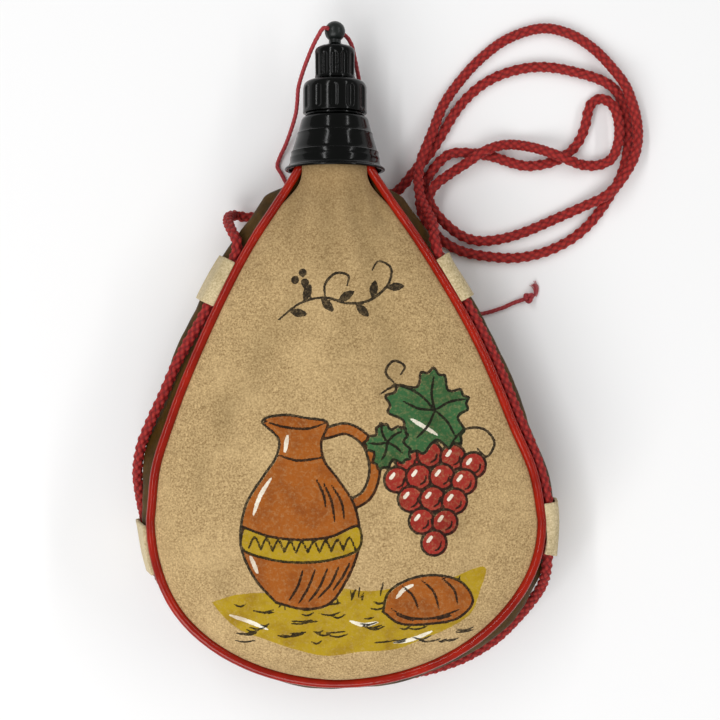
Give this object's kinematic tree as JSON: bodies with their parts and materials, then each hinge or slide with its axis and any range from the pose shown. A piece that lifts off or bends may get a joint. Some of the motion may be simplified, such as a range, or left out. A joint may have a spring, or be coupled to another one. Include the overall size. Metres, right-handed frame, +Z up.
{
  "type": "leather wine skin",
  "caption": "Teardrop leather drinking skin with a side gusset, screw filler ring, fluted stopper, tether and shoulder cord, lying on its back.",
  "frame": {"origin": "on the surface that the bag lies on, under the middle of the bag and its mouthpiece", "axes": "+X across the bag, +Y from the belly to the stopper, +Z up from the back panel to the front panel"},
  "size_m": [0.1978, 0.2603, 0.0498],
  "materials": {
    "tan_suede": "napped suede, dry and matt",
    "dark_leather": "dull olive brown leather",
    "red_vinyl": "glossy red vinyl piping",
    "liner_latex": "matt latex liner",
    "black_plastic": "glossy moulded black plastic",
    "waxed_binding": "waxed thread",
    "seal_rubber": "soft washer rubber",
    "loop_suede": "pale split suede",
    "red_cord": "braided cord",
    "red_string": "twisted string"
  },
  "bodies": {
    "root": {"front_panel": "tan_suede", "back_panel": "tan_suede", "side_gusset": "dark_leather", "front_piping": "red_vinyl", "back_piping": "red_vinyl", "inner_bladder": "liner_latex", "neck_insert": "black_plastic", "neck_binding": "waxed_binding", "neck_collar": "black_plastic", "upper_left_loop": "loop_suede", "upper_right_loop": "loop_suede", "lower_left_loop": "loop_suede", "lower_right_loop": "loop_suede", "edge_cord": "red_cord", "shoulder_strap": "red_cord", "cap_tether": "red_string", "tether_tail": "red_string", "tether_end": "red_string", "tether_hitch": "red_string", "tether_knot": "red_string"},
    "filler_travel": {"filler_seal": "seal_rubber"},
    "filler": {"filler_cap": "black_plastic"},
    "stopper_travel": {"stopper_seal": "seal_rubber"},
    "stopper": {"stopper_cap": "black_plastic"}
  },
  "joints": [
    {"name": "filler_rise", "type": "slide", "parent": "root", "child": "filler_travel", "axis": [0, 1, 0], "range_m": [0, 0.0078], "deforming": ["cap_tether"]},
    {"name": "filler_unscrew", "type": "hinge", "parent": "filler_travel", "child": "filler", "pos_m": [-0.0048, 0.0915, 0.025], "axis": [0, 1, 0], "range_deg": [0, 1080]},
    {"name": "stopper_rise", "type": "slide", "parent": "filler", "child": "stopper_travel", "axis": [0, 1, 0], "range_m": [0, 0.006], "deforming": ["cap_tether"]},
    {"name": "stopper_unscrew", "type": "hinge", "parent": "stopper_travel", "child": "stopper", "pos_m": [-0.0048, 0.1045, 0.025], "axis": [0, 1, 0], "range_deg": [0, 1080]}
  ],
  "couplings": [
    {"joint": "filler_unscrew", "follows": "filler_rise", "rad_per_m": 2416.6},
    {"joint": "stopper_unscrew", "follows": "stopper_rise", "rad_per_m": 3141.6}
  ]
}
